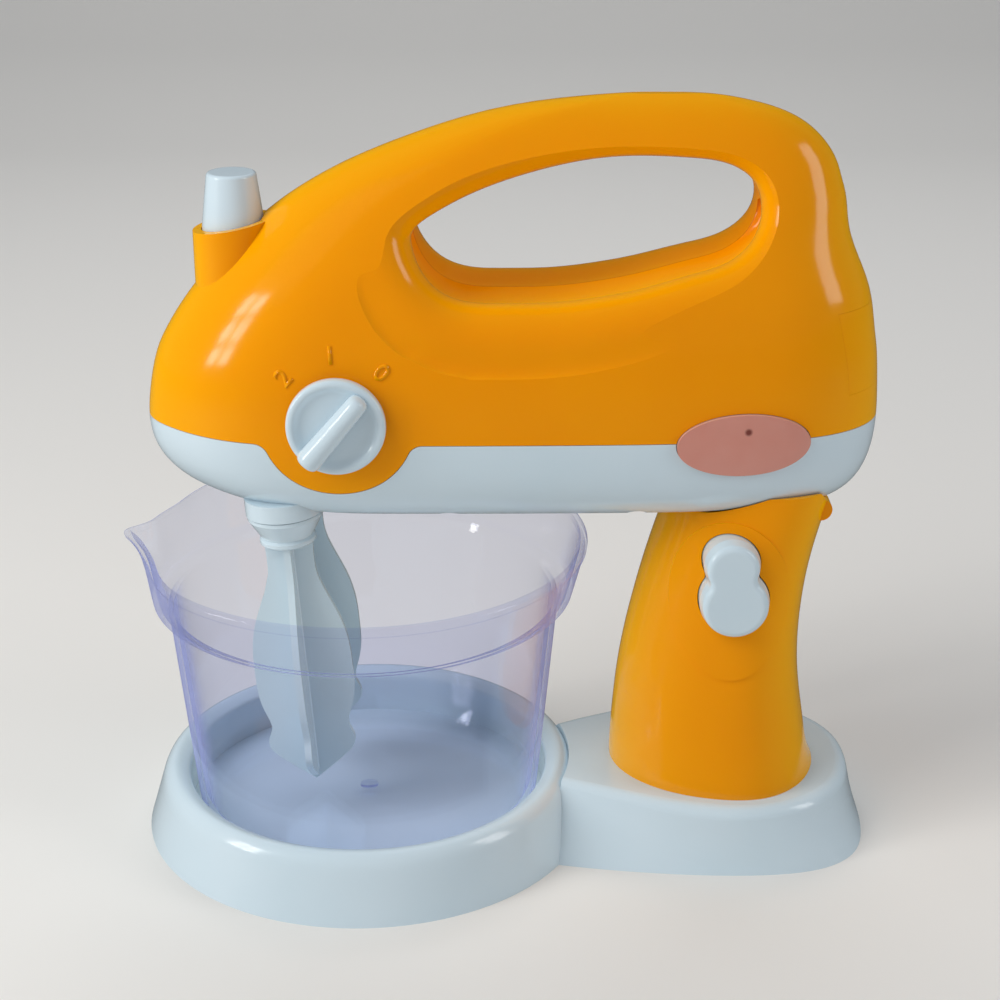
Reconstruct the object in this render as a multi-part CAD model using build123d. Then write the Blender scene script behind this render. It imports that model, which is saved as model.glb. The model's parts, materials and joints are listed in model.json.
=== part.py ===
from build123d import *
import os
from math import cos, hypot, pi, radians, sin

# Toy stand mixer, in millimetres.
# X runs along the mixer, from the nose (-X) to the rear (+X).
# The near side, with the dial, is -Y. Z is up.
# The origin is on the bowl's axis, on the surface that the base stands on.

os.makedirs("parts", exist_ok=True)

# General clearances
slip = 0.05              # radial play of a shaft or screw in its hole
seat_gap = 0.3           # gap under a piece that only rests on another
seam = 0.15              # joint line between housings

# Base: a round bowl seat with a lobe for the column
ring_r = 62.0            # foot of the round seat
ring_crest_r = 54.0      # crest of its rounded rim
ring_h = 18.0            # height of the crest
seat_r = 50.0            # recess that takes the bowl
floor_t = 2.2            # floor under the bowl
base_wall = 2.2
base_plate_t = 2.4       # flat cover under the base
lobe_rear = 139.5        # rear end of the lobe, at the foot
lobe_half_w = 37.0
lobe_h = 18.0
lobe_edge_r = 3.5        # rounding of the lobe's top edge
lobe_groove_r = 56.8     # the lobe's top starts here, outside the ring's crest
base_screw_r = 1.3
base_screw_len = 9.0
base_boss_r = 2.9
base_boss_ring = 54.6    # circle of the three cover screws in the round part
lobe_boss_x = 122.0
lobe_boss_y = 24.0

# Column: egg-shaped sections, curved forward at the foot and back at the top
column_foot_front = 68.2
column_foot_rear = 125.3
column_foot_half_w = 28.0
column_top_z = 97.2
column_wall = 2.2
column_floor_t = 3.0
column_ceiling_t = 3.0
column_screw_r = 1.2
column_screw_len = 14.0
column_screws_at = [(97.0, 36.0), (97.0, 56.0), (112.5, 79.5)]
foot_screw_len = 10.0
foot_screws_at = [(86.0, 12.0), (112.0, 13.0)]

# Hinge at the top rear of the column
hinge_x = 122.0
hinge_z = 96.4
hinge_barrel_r = 3.0
hinge_half_len = 12.0    # end of the outer knuckles
hinge_mid_half = 6.0     # half length of the head's knuckle
hinge_pin_r = 1.3
hinge_play = 0.4         # room around the barrel
hinge_neck = 2.0         # half thickness of the head's neck
head_swing = 40.0        # how far the head tilts back, degrees

# Release button on the column, near side
release_x = 98.8
release_z = 75.2
release_r = 8.4
release_top_r = 6.6
release_rise = 10.5      # upper lobe above the lower one
release_draft = 0.8      # how much wider it is at the column's wall
release_bend_y = -24.0   # the draft starts here
release_pad_t = 0.4      # raised oval round the button
release_pad_w = 15.9
release_pad_h = 21.5
release_waist_r = 3.0    # hollow rounding between the lobes
release_face_y = -28.2
release_travel = 3.0
release_spring_r = 3.6
release_wire_r = 0.45
release_spring_turns = 5
release_back_y = -14.6    # inner end of the button's body
release_post_y = -2.0    # end of the far half's post that holds the spring
catch_half = 2.6         # half thickness of the head's catch
catch_x = 90.5

# Bowl
bowl_foot_r = 45.8
bowl_low_r = 47.8        # just above the rounded foot
bowl_mid_r = 53.2        # wall radius below the shelf
bowl_shelf_r = 57.2
bowl_rim_r = 61.2
bowl_shelf_z = 70.0
bowl_rim_z = 84.6
bowl_wall = 1.5
bowl_floor_t = 2.0
bowl_bead = 2.2          # height of the rounded rim
bowl_neck = 0.7          # how much narrower the wall is under it
spout_reach = 65.4
spout_pinch = 58.6       # rim radius on both sides of the lip
spout_turn = -1.7        # lip's direction, degrees from -X

# Head: outline of the mixer's body
head_bottom_z = 97.5
head_top_z = 203.9
head_nose_x = -55.4
head_rear_x = 136.7
head_half_w = 28.5
shell_t = 2.2
parting_z = 120.5
lip_draw = 4.0           # rounding where the dial's tab leaves the joint line

# Dial
knob_x = -3.7
knob_z = 126.4
knob_r = 12.6
knob_tab_r = 19.6
knob_back_y = -29.0
knob_disc_t = 3.2
knob_rim = 1.3
knob_dish = 1.3
grip_w = 5.0
grip_h = 5.2
grip_over = 1.2          # the grip's pointer end stands past the rim
knob_off_deg = 50.0      # the pointer at OFF
knob_shaft_r = 3.0
switch_board_r = 9.5
switch_board_t = 1.2
switch_board_y = -19.8   # front face
switch_post_r = 2.0
wiper_t = 1.6

# Button on the nose
button_x = -30.8
button_r = 8.0
button_top_r = 6.3
button_top_z = 184.0
button_collar_r = 10.5
button_collar_z = 171.0  # collar's height on its axis
button_collar_tilt = 10.0
button_travel = 3.2
button_play = 0.3
button_flange_r = 8.9
button_flange_z = 165.9
button_stem_r = 2.4
button_shelf_z = 151.0
button_spring_r = 5.2
button_wire_r = 0.45
button_spring_turns = 5
switch_h = 4.5

# Lens and lamps
lens_x = 99.1
lens_z = 119.7
lens_half_l = 17.2
lens_half_h = 8.2
lens_proud = 1.1
lens_depth = 3.2
lamp_r = 1.5
lamp_len = 7.0
lamp_setback = 6.4       # from the body's widest side to the lamp's round end
light_z = 123.4
light_board_t = 1.2
light_board_h = 6.0

# Drive
spindle_x = -19.2        # where the spindles leave the head
spindle_y = 13.9
drive_lean = 4.1         # motor, gears and beaters lean to the nose, degrees
gear_teeth = 20
pinion_teeth = 12
gear_z = 109.5
gear_t = 5.0
spindle_r = 4.4
socket_r = 2.6
gear_plate_z = 117.0
gear_plate_t = 1.8
motor_w = 15.1
motor_l = 20.1
motor_h = 19.0
motor_shaft_r = 1.0

# Beaters
beater_r = 13.3
beater_tip_z = 17.3
beater_vane_t = 1.8
collar_top_r = 10.0
collar_low_r = 6.8
collar_top_z = 97.0
collar_low_z = 90.6

# Battery compartment
cell_r = 7.1
cell_len = 50.3
cell_z = 140.4
cell_y = 7.6
cell_front_x = 66.0
box_wall = 1.3
hatch_half_w = 17.0
hatch_z0 = 130.0
hatch_z1 = 151.5
hatch_gap = 0.06
hatch_seat_depth = 4.5   # screw seat, from the rear end
hatch_screw_len = 8.0
foot_y = 8.0             # feet of the battery box
battery_wire_r = 0.4
battery_spring_r = 3.2

# Screws of the head's housings
housing_screw_r = 1.2
housing_screw_len = 12.0
housing_boss_r = 3.2
housing_screws_at = [(62.0, 196.6), (112.5, 178.5), (2.0, 176.0), (-43.0, 133.0), (52.0, 130.0)]
lower_screws_at = [(24.0, 17.5), (73.0, 17.5)]


def bar(x, y, z0, z1, r):
    """Upright round bar from z0 to z1."""
    return Pos(x, y, (z0 + z1) / 2) * Cylinder(r, abs(z1 - z0))


def bar_y(x, z, y0, y1, r):
    """Round bar along Y."""
    return Pos(x, (y0 + y1) / 2, z) * Rot(90, 0, 0) * Cylinder(r, abs(y1 - y0))


def bar_x(y, z, x0, x1, r):
    """Round bar along X."""
    return Pos((x0 + x1) / 2, y, z) * Rot(0, 90, 0) * Cylinder(r, abs(x1 - x0))


def block(x0, x1, y0, y1, z0, z1):
    return Pos((x0 + x1) / 2, (y0 + y1) / 2, (z0 + z1) / 2) * Box(x1 - x0, y1 - y0, z1 - z0)


def closed_curve(points):
    return Spline(*points, periodic=True)


def loft_faces(outlines):
    """Smooth solid through closed outlines that each lie in one plane."""
    return loft([make_face(closed_curve(points)) for points in outlines])


# Head

# Half width along the body, as a share of the largest, against the share of the length
plan_shape = [(0.012, 0.27), (0.04, 0.50), (0.085, 0.74), (0.15, 0.93), (0.26, 1.0), (0.40, 1.0),
              (0.56, 0.985), (0.71, 0.95), (0.82, 0.885), (0.90, 0.77), (0.955, 0.56), (0.988, 0.29)]

# Height, nose, rear and half width of the body's level sections, measured from
# head_bottom_z, head_nose_x, head_rear_x and head_half_w
head_levels = [(0.0, 29.0, -17.0, -11.5), (2.2, 17.5, -8.4, -7.2), (6.0, 9.5, -4.2, -3.6),
               (12.0, 3.0, -1.4, -1.1), (23.0, 0.0, 0.0, 0.0), (34.5, 1.6, -0.5, -0.2),
               (44.5, 5.2, -1.7, -1.0), (52.5, 10.2, -3.0, -2.0), (59.5, 15.6, -5.0, -3.4),
               (67.0, 22.6, -8.3, -5.6), (74.5, 30.8, -10.6, -8.4), (82.5, 41.6, -12.0, -11.4),
               (89.5, 54.4, -14.4, -14.1), (95.5, 69.0, -18.5, -16.7), (100.3, 83.4, -24.6, -19.4),
               (103.8, 99.0, -33.6, -22.6), (105.8, 116.0, -43.2, -25.9),
               (106.4, 126.5, -54.0, -27.2)]


def head_solid(inset):
    """The head's whole outer form, drawn in by inset on every side."""
    squeeze = (head_top_z - head_bottom_z - 2 * inset) / (head_top_z - head_bottom_z)
    outlines = []
    for up, nose, rear, wide in head_levels:
        z = head_bottom_z + inset + up * squeeze
        front = head_nose_x + nose + inset
        length = head_rear_x + rear - inset - front
        half = head_half_w + wide - inset
        if half < 0.3:
            continue
        near = [(front + u * length, -half * share, z) for u, share in plan_shape]
        far = [(x, -y, z) for x, y, z in reversed(near)]
        outlines.append([(front, 0, z)] + near + [(front + length, 0, z)] + far)
    return loft_faces(outlines)


# Handle opening on the middle plane, from its front end along the floor and back over the top
handle_hole = [(15.0, 169.5), (17.6, 162.2), (22.0, 157.3), (28.0, 154.7), (38.0, 154.0), (50.0, 154.2),
               (61.0, 155.4), (73.0, 157.7), (85.0, 161.0), (95.6, 164.6), (101.0, 169.8), (102.8, 177.0),
               (100.6, 183.2), (94.6, 187.1), (85.0, 188.7), (74.0, 189.2), (62.0, 188.6), (51.0, 186.6),
               (40.0, 183.6), (30.0, 180.0), (21.0, 175.6)]
hole_floor_flat = 17.0   # half width of the opening's floor before it rounds off
hole_bar_flat = 4.5      # the same under the handle
hole_round = 9.0         # radius of that rounding


def hole_normals():
    count = len(handle_hole)
    normals = []
    for i in range(count):
        x0, z0 = handle_hole[i - 1]
        x1, z1 = handle_hole[(i + 1) % count]
        size = hypot(x1 - x0, z1 - z0)
        normals.append(((z1 - z0) / size, -(x1 - x0) / size))
    return normals


def handle_cutter(grow, side):
    """Half of the handle's opening, on the side of -Y or +Y. Its mouth is rounded outward."""
    low = min(z for x, z in handle_hole)
    high = max(z for x, z in handle_hole)
    normals = hole_normals()
    wires = []
    for step in ["middle", 0, 20, 40, 58, 74, "outside"]:
        points = []
        for (x, z), (nx, nz) in zip(handle_hole, normals):
            share = (z - low) / (high - low)
            share = share * share * (3 - 2 * share)
            flat = hole_floor_flat + (hole_bar_flat - hole_floor_flat) * share
            r = hole_round - grow
            turn = {"middle": 0, "outside": 74}.get(step, step)
            out = grow + r * (1 - cos(radians(turn)))
            y = flat + r * sin(radians(turn))
            if step == "middle":
                y = 0
            if step == "outside":
                y = head_half_w + 6
                out = out + 6
            points.append((x + nx * out, side * y, z + nz * out))
        wires.append(Wire([Edge.make_spline(points, periodic=True)]))
    return Solid.make_loft(wires)


def tab_area(gap):
    """Side view of the orange part: all above the joint line, and the tab round the dial."""
    top = head_top_z + 40
    upper = Pos(40, (parting_z + top) / 2) * Rectangle(400, top - parting_z)
    area = upper + Pos(knob_x, knob_z) * Circle(knob_tab_r)
    corners = [v for v in area.vertices() if abs(v.Y - parting_z) < 0.01 and abs(v.X - knob_x) < 2 * knob_tab_r]
    area = fillet(corners, lip_draw)
    if gap > 0:
        area = offset(area, gap)
    return area


def upper_region(gap):
    """Space of the orange housings. The tab is on the near side only."""
    near = extrude(Plane.XZ * tab_area(gap), 80)
    far = block(-160, 240, 0, 80, parting_z - gap, head_top_z + 40)
    return near + far


def lens_area(grow):
    return Pos(lens_x, lens_z) * Ellipse(lens_half_l + grow, lens_half_h + grow)


def leaned(shape):
    """Leans a piece of the drive to the nose, about the point where the spindles leave the head."""
    return Pos(spindle_x, 0, head_bottom_z) * Rot(0, -drive_lean, 0) * Pos(-spindle_x, 0, -head_bottom_z) * shape


def hatch_block(gap):
    """Space of the battery cover at the rear end."""
    return block(114, head_rear_x + 10, -hatch_half_w + gap, hatch_half_w - gap, hatch_z0 + gap, hatch_z1 - gap)


def start_collar():
    """Round collar on the nose, with a sloping top, and the bar inside it."""
    bar_up = bar(button_x, 0, button_shelf_z - 2, button_collar_z + 20, button_collar_r)
    cut = Pos(button_x, 0, button_collar_z) * Rot(0, -button_collar_tilt, 0)
    return bar_up - cut * Pos(0, 0, 25) * Box(60, 60, 50)


def start_bore():
    mouth = bar(button_x, 0, button_flange_z, button_collar_z + 20, button_r + button_play)
    room = bar(button_x, 0, button_shelf_z, button_flange_z + seat_gap, button_flange_r + button_play)
    stem = bar(button_x, 0, button_shelf_z - 10, button_shelf_z + 1, button_stem_r + button_play)
    return mouth + room + stem


def housing_bosses(side):
    """Screw bosses that reach from a half's wall to the middle plane."""
    bosses = []
    for x, z in housing_screws_at:
        bosses.append(bar_y(x, z, 0, side * (head_half_w + 5), housing_boss_r))
    return bosses


def lower_boss_bar(x, y, z0, z1):
    """Upright boss with a rib that ties it to the side wall."""
    out = 1 if y > 0 else -1
    rib = block(x - 1, x + 1, min(y, out * (head_half_w + 4)), max(y, out * (head_half_w + 4)), z0, z1)
    return bar(x, y, z0, z1, housing_boss_r) + rib


def upper_housing(side, outer, inner):
    half = split(outer, Plane.XZ, keep=Keep.TOP if side < 0 else Keep.BOTTOM)
    room = split(inner, Plane.XZ, keep=Keep.TOP if side < 0 else Keep.BOTTOM)
    cutter = handle_cutter(0, side)
    solid = half - cutter
    hollow = room - handle_cutter(shell_t, side)
    extra = housing_bosses(side)
    for x, y in lower_screws_at:
        extra.append(lower_boss_bar(x, side * y, parting_z - 1, parting_z + 8))
    shelf_y = sorted([0, side * 40])
    extra.append(block(button_x - 7, button_x + 3, shelf_y[0], shelf_y[1], switch_shelf_z() - 2, switch_shelf_z()))
    clamp_y = sorted([side * 3, side * 40])
    extra.append(leaned(block(spindle_x - 2, spindle_x + 2, clamp_y[0], clamp_y[1], motor_top() + seam, motor_top() + 2.5)))
    hollow = hollow - extra
    shell = solid - hollow
    collar = split(start_collar(), Plane.XZ, keep=Keep.TOP if side < 0 else Keep.BOTTOM)
    shell = shell + collar
    shell = shell - start_bore()
    shell = shell & upper_region(0)
    for x, z in housing_screws_at:
        if side < 0:
            shell = shell - bar_y(x, z, -8.5, 1, housing_screw_r + slip)
        else:
            shell = shell - bar_y(x, z, -1, 5, housing_screw_r + 0.2)
            shell = shell - bar_y(x, z, 4.6, head_half_w + 10, housing_boss_r - 0.6)
    for x, y in lower_screws_at:
        shell = shell - bar(x, side * y, parting_z - 2, parting_z + 6.5, housing_screw_r + slip)
    shell = shell - extrude(Plane.XZ * lens_area(seam), 80, both=True)
    shell = shell - hatch_block(0)
    if side < 0:
        shell = shell + knob_posts() - bar_y(knob_x, knob_z, -40, 0, knob_shaft_r + slip)
        for x, z in switch_screws_at():
            shell = shell - bar_y(x, z, switch_board_y - 4.5, switch_board_y + 1, 0.8 + slip)
    return keep_largest(shell)


def keep_largest(shape):
    solids = shape.solids()
    return max(solids, key=lambda s: s.volume)


def switch_screws_at():
    reach = switch_board_r - 2.2
    return [(knob_x - reach, knob_z), (knob_x + reach, knob_z)]


def knob_posts():
    """Two posts that carry the dial's switch board."""
    posts = Part()
    for x, z in switch_screws_at():
        posts = posts + bar_y(x, z, switch_board_y, -head_half_w + shell_t / 2, switch_post_r)
    return posts


def switch_top_z():
    """Top of the switch's key, just under the stem of the pressed button."""
    return button_shelf_z - 2 - seat_gap - button_travel - 0.2


def switch_shelf_z():
    return switch_top_z() - switch_h


def motor_bottom():
    return gear_plate_z + gear_plate_t


def motor_top():
    return motor_bottom() + motor_h


def lower_housing(outer, inner):
    low = block(-160, 240, -80, 80, head_bottom_z - 1, parting_z - seam)
    low = low - extrude(Plane.XZ * tab_area(seam), 80)
    solid = outer & low
    hollow = inner
    bosses = []
    for side in (-1, 1):
        for x, y in lower_screws_at:
            bosses.append(bar(x, side * y, head_bottom_z, parting_z + 5, housing_boss_r))
        bosses.append(leaned(bar(spindle_x, side * spindle_y, head_bottom_z - 4, gear_z - 0.6, spindle_r + 2.2)))
    for x, y in plate_posts():
        bosses.append(leaned(bar(x, y, head_bottom_z - 4, gear_plate_z, 2.6)))
    bosses.append(bar_y(hinge_x, hinge_z, -hinge_half_len - 3, hinge_half_len + 3, hinge_barrel_r + hinge_play + 2))
    bosses.append(block(catch_x - 4, catch_x + 4, -4.5, 4.5, head_bottom_z, head_bottom_z + 4))
    hollow = hollow - bosses
    shell = (solid - hollow) & low
    # Flat pads under the spindles
    for side in (-1, 1):
        pad = bar(spindle_x, side * spindle_y, collar_top_z + seat_gap, head_bottom_z + 4.5, collar_top_r + 0.3)
        face = bar(spindle_x, side * spindle_y, collar_top_z - 3, collar_top_z + seat_gap, collar_top_r + 0.3)
        shell = shell + leaned(pad) - leaned(face)
    # Recess over the column's hinge barrel, and the head's own knuckle in it
    shell = shell - bar_y(hinge_x, hinge_z, -hinge_half_len - hinge_play, hinge_half_len + hinge_play,
                          hinge_barrel_r + hinge_play)
    knuckle = bar_y(hinge_x, hinge_z, -hinge_mid_half, hinge_mid_half, hinge_barrel_r - 0.4)
    neck_top = hinge_z + hinge_barrel_r + hinge_play + 1.5
    neck = block(hinge_x - hinge_neck, hinge_x + hinge_neck, -hinge_mid_half, hinge_mid_half, hinge_z, neck_top)
    shell = shell + knuckle + neck
    shell = shell - bar_y(hinge_x, hinge_z, -40, 40, hinge_pin_r + slip)
    # Catch that hangs into the column's top
    shell = shell + block(catch_x - 2.5, catch_x + 2.5, -catch_half, catch_half, column_top_z - 13.5, head_bottom_z + 1)
    for side in (-1, 1):
        shell = shell - leaned(bar(spindle_x, side * spindle_y, head_bottom_z - 10, gear_z + 6, spindle_r + slip))
        room = bar(spindle_x, side * spindle_y, gear_z - 0.6, gear_z + gear_t + 0.6, tip_radius(gear_teeth) + seat_gap)
        shell = shell - leaned(room)
        for x, y in lower_screws_at:
            shell = shell - bar(x, side * y, head_bottom_z - 10, parting_z + 1, housing_screw_r + 0.2)
            shell = shell - bar(x, side * y, head_bottom_z - 10, parting_z - 6, housing_boss_r - 0.6)
    for x, y in plate_posts():
        shell = shell - leaned(bar(x, y, gear_plate_z - 6, gear_plate_z + 1, 0.9 + slip))
    shell = shell - extrude(Plane.XZ * lens_area(seam), 80, both=True)
    return keep_largest(shell)


def lens(side, outer_proud):
    """Pink window. Its face follows the body and stands a little proud."""
    area = extrude(Plane.XZ * lens_area(0), 80)
    if side > 0:
        area = mirror(area, Plane.XZ)
    piece = outer_proud & area
    inside = head_solid(lens_depth - lens_proud)
    return keep_largest(piece - inside)


# Drive

def pitch_radius(teeth):
    return spindle_y * teeth / (gear_teeth + pinion_teeth)


def gear_module():
    return 2 * spindle_y / (gear_teeth + pinion_teeth)


def tip_radius(teeth):
    return pitch_radius(teeth) + 0.8 * gear_module()


def toothed(teeth, x, y, z0, z1, phase):
    """Spur gear with straight-sided teeth and a little backlash. A tooth points to phase."""
    module = gear_module()
    tip = tip_radius(teeth)
    root = pitch_radius(teeth) - 1.0 * module
    step = 2 * pi / teeth
    points = []
    for i in range(teeth):
        at = radians(phase) + i * step
        for r, share in ((root, -0.28), (tip, -0.12), (tip, 0.12), (root, 0.28)):
            points.append((x + r * cos(at + share * step), y + r * sin(at + share * step)))
    face = make_face(Polyline(*points, close=True))
    return Pos(0, 0, z0) * extrude(face, z1 - z0)


def spindle_gear(side):
    """Gear with its tubular spindle. The beater's stub fits in the tube."""
    y = side * spindle_y
    half_tooth = 180 / gear_teeth
    toward = -90 * side
    gear = toothed(gear_teeth, spindle_x, y, gear_z, gear_z + gear_t, toward + half_tooth)
    tube = bar(spindle_x, y, collar_top_z, gear_z + 0.01, spindle_r)
    journal = bar(spindle_x, y, gear_z + gear_t, gear_plate_z + gear_plate_t + 0.8, 2.0)
    socket = Pos(spindle_x, y, collar_top_z + 4) * Box(socket_w(), socket_w(), 12 + 8)
    return gear + tube + journal - socket


def socket_w():
    return 2 * socket_r


def motor_pinion():
    gear = toothed(pinion_teeth, spindle_x, 0, gear_z - 0.4, gear_z + gear_t + 0.4, 90)
    return gear - bar(spindle_x, 0, gear_z - 2, gear_z + gear_t + 2, motor_shaft_r)


def motor_shaft():
    return bar(spindle_x, 0, gear_z - 1.0, motor_top() + 2.0, motor_shaft_r)


def motor_can():
    body = bar(spindle_x, 0, motor_bottom(), motor_top() - 3, motor_l / 2)
    body = body & block(spindle_x - 30, spindle_x + 30, -motor_w / 2, motor_w / 2, 0, 400)
    nose = bar(spindle_x, 0, motor_bottom() - gear_plate_t + 0.2, motor_bottom() + 1, 3.0)
    return body + nose - bar(spindle_x, 0, motor_bottom() - 5, motor_top() + 5, motor_shaft_r + slip)


def motor_end_cap():
    body = bar(spindle_x, 0, motor_top() - 3, motor_top(), motor_l / 2 - 0.3)
    body = body & block(spindle_x - 30, spindle_x + 30, -motor_w / 2 + 0.3, motor_w / 2 - 0.3, 0, 400)
    hub = bar(spindle_x, 0, motor_top() - 1, motor_top() + 1.2, 2.4)
    return body + hub - bar(spindle_x, 0, motor_bottom(), motor_top() + 5, motor_shaft_r + slip)


def plate_posts():
    return [(spindle_x - 13, 10), (spindle_x - 13, -10), (spindle_x + 15, 14), (spindle_x + 15, -14)]


def gear_plate():
    """Plate over the gears. It carries the motor and the spindles' upper ends."""
    plate = block(spindle_x - 16.5, spindle_x + 18.5, -17.7, 17.7, gear_plate_z, gear_plate_z + gear_plate_t)
    plate = fillet(plate.edges().filter_by(Axis.Z), 4)
    plate = plate - bar(spindle_x, 0, 0, 400, 3.0 + slip)
    for side in (-1, 1):
        plate = plate - bar(spindle_x, side * spindle_y, 0, 400, 2.0 + slip)
    for x, y in plate_posts():
        plate = plate - bar(x, y, 0, 400, 1.1)
    return plate


def screw_z(x, y, head_z, length, r, up):
    """Upright pan-head screw. The head sits at head_z and the shank runs up or down."""
    s = 1 if up else -1
    shank = bar(x, y, head_z, head_z + s * length, r)
    head = bar(x, y, head_z - s * 1.2 * r, head_z, 1.9 * r)
    slot = Pos(x, y, head_z - s * 1.2 * r) * Box(2.6 * r, 0.5 * r, 0.8 * r)
    cross = Pos(x, y, head_z - s * 1.2 * r) * Box(0.5 * r, 2.6 * r, 0.8 * r)
    return shank + head - slot - cross


def screw_y(x, z, head_y, length, r):
    """Screw along Y with its head on the far side."""
    shank = bar_y(x, z, head_y - length, head_y, r)
    head = bar_y(x, z, head_y, head_y + 1.2 * r, 1.9 * r)
    slot = Pos(x, head_y + 1.2 * r, z) * Box(2.6 * r, 0.8 * r, 0.5 * r)
    cross = Pos(x, head_y + 1.2 * r, z) * Box(0.5 * r, 0.8 * r, 2.6 * r)
    return shank + head - slot - cross


# Dial

def knob_turned(piece):
    return Pos(knob_x, 0, knob_z) * Rot(0, -knob_off_deg, 0) * piece


def mode_knob():
    """Dished disc with a rounded grip across it and a shaft behind it."""
    face_y = knob_back_y - knob_disc_t
    disc = bar_y(0, 0, face_y, knob_back_y, knob_r)
    disc = fillet(disc.edges().sort_by(Axis.Y)[0], knob_rim * 0.8)
    dish = bar_y(0, 0, face_y - 1, face_y + knob_dish, knob_r - 2.4)
    body = disc - dish
    length = 2 * knob_r + grip_over - 3.6
    grip = Pos(grip_over / 2 * -1 - 0.2, (face_y + knob_dish + face_y - grip_h + knob_dish) / 2, 0)
    grip = grip * Box(length, grip_h, grip_w)
    grip = fillet(grip.edges().filter_by(Axis.Y), grip_w * 0.46)
    grip = fillet(grip.edges().group_by(Axis.Y)[0], grip_w * 0.3)
    body = body + grip
    tip = bar_y(0, 0, switch_board_y - wiper_t - 0.3, switch_board_y + switch_board_t + 1.0, 1.8)
    shaft = bar_y(0, 0, knob_back_y - 0.5, switch_board_y - wiper_t - 0.3, knob_shaft_r)
    return knob_turned(body + shaft + tip)


def mode_wiper():
    """Contact strip on the dial's shaft. It turns between the board's two posts."""
    wiper_r = switch_board_r - 2.2 - switch_post_r - 0.4
    disc = bar_y(0, 0, switch_board_y - wiper_t - 0.3, switch_board_y - 0.3, wiper_r)
    disc = disc & block(-wiper_r, wiper_r, -100, 100, -3.0, 3.0)
    return knob_turned(disc - bar_y(0, 0, -60, 0, 1.8 + slip))


def mode_switch_board():
    board = bar_y(knob_x, knob_z, switch_board_y, switch_board_y + switch_board_t, switch_board_r)
    board = board - bar_y(knob_x, knob_z, -60, 0, 1.8 + 0.2)
    for x, z in switch_screws_at():
        board = board - bar_y(x, z, -60, 0, 0.8 + 0.15)
    return board


def mode_switch_screws():
    return [screw_y(x, z, switch_board_y + switch_board_t, 4.0, 0.8) for x, z in switch_screws_at()]


# Button on the nose

def start_button():
    """Tapered cap, retaining flange and the stem that works the switch."""
    cap_foot = button_flange_z - 1.6
    straight = bar(button_x, 0, cap_foot, button_collar_z - 0.5, button_r)
    taper_h = button_top_z - (button_collar_z - 0.5)
    taper = Pos(button_x, 0, button_collar_z - 0.5 + taper_h / 2) * Cone(button_r, button_top_r, taper_h)
    taper = fillet(taper.edges().sort_by(Axis.Z)[-1], 0.9)
    flange = bar(button_x, 0, button_flange_z - 1.6, button_flange_z, button_flange_r)
    stem = bar(button_x, 0, button_shelf_z - 2 - seat_gap, cap_foot, button_stem_r)
    return straight + taper + flange + stem


def coil(r, wire, length, turns):
    """Open spring along Z from 0 to length, with the wire's ends inside that length."""
    path = Helix(pitch=(length - 2 * wire) / turns, height=length - 2 * wire, radius=r)
    ring = Plane(origin=path @ 0, z_dir=path % 0) * Circle(wire)
    return Pos(0, 0, wire) * sweep(ring, path=path)


def start_spring():
    low = button_shelf_z + 0.1
    high = button_flange_z - 1.6 - 0.1
    return Pos(button_x, 0, low) * coil(button_spring_r, button_wire_r, high - low, button_spring_turns)


def start_switch():
    top = switch_top_z()
    base = block(button_x - 6, button_x + 2.8, -4, 4, switch_shelf_z(), top - 1.0)
    key = bar(button_x, 0, top - 1.0, top, 1.6)
    return base + key


# Beaters

# Height of the vane's outline above the tip, against its half width
vane_shape = [(0.0, 0.0), (3.5, 4.6), (6.8, 8.6), (9.5, 11.2), (11.5, 11.9), (13.5, 11.5), (15.9, 10.6),
              (18.5, 10.9), (22.0, 12.1), (28.0, 13.2), (32.7, 13.3), (41.0, 13.0), (48.0, 11.5),
              (56.5, 8.2), (62.0, 6.5), (68.4, 6.3), (72.0, 6.4)]


def vane():
    right = [(x * beater_r / 13.3, z) for z, x in vane_shape]
    left = [(-x, z) for x, z in reversed(right)]
    flat = make_face(Spline(*left) + Line(left[0], right[-1]) + Spline(*right))
    return Plane.XZ * extrude(flat, beater_vane_t / 2, both=True)


def beater(side):
    y = side * spindle_y
    plate = vane()
    crossed = plate + Rot(0, 0, 90) * plate
    hub = bar(0, 0, 3.0, collar_low_z - beater_tip_z, 1.5)
    vanes = Pos(spindle_x, y, beater_tip_z) * (crossed + hub)
    profile = Polyline((0, collar_low_z - 2.2), (collar_low_r - 0.2, collar_low_z - 2.2),
                       (collar_low_r + 0.7, collar_low_z - 1.5), (collar_low_r + 0.7, collar_low_z - 0.6),
                       (collar_low_r, collar_low_z), (collar_top_r, collar_top_z - 1.0),
                       (collar_top_r, collar_top_z), (0, collar_top_z), close=True)
    collar = Pos(spindle_x, y, 0) * revolve(Plane.XZ * make_face(profile), Axis.Z)
    stub_w = socket_w() - 2 * slip
    stub = Pos(spindle_x, y, collar_top_z + 4) * Box(stub_w, stub_w, 8 + 1)
    return collar + vanes + stub


# Bowl

def rim_outline(z, r, lip, grow):
    """Circle of radius r that turns into the pouring lip towards -X as lip goes from 0 to 1."""
    reach = [(0, spout_reach), (6, spout_reach - 3.9), (12, 59.6), (20, spout_pinch), (29, 59.6), (40, 61.0)]
    points = []
    for a, lip_r in reach:
        at = r + (lip_r - bowl_rim_r) * lip + grow
        points.append((180 + a, at))
    for a in range(54, 180, 14):
        points.append((180 + a, r + grow))
    mirrored = [(360 - a, at) for a, at in reversed(points[1:])]
    outline = []
    for a, at in points + [(360, r + grow)] + mirrored:
        turn = radians(a + spout_turn)
        outline.append((at * cos(turn), at * sin(turn), z))
    return outline


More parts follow.
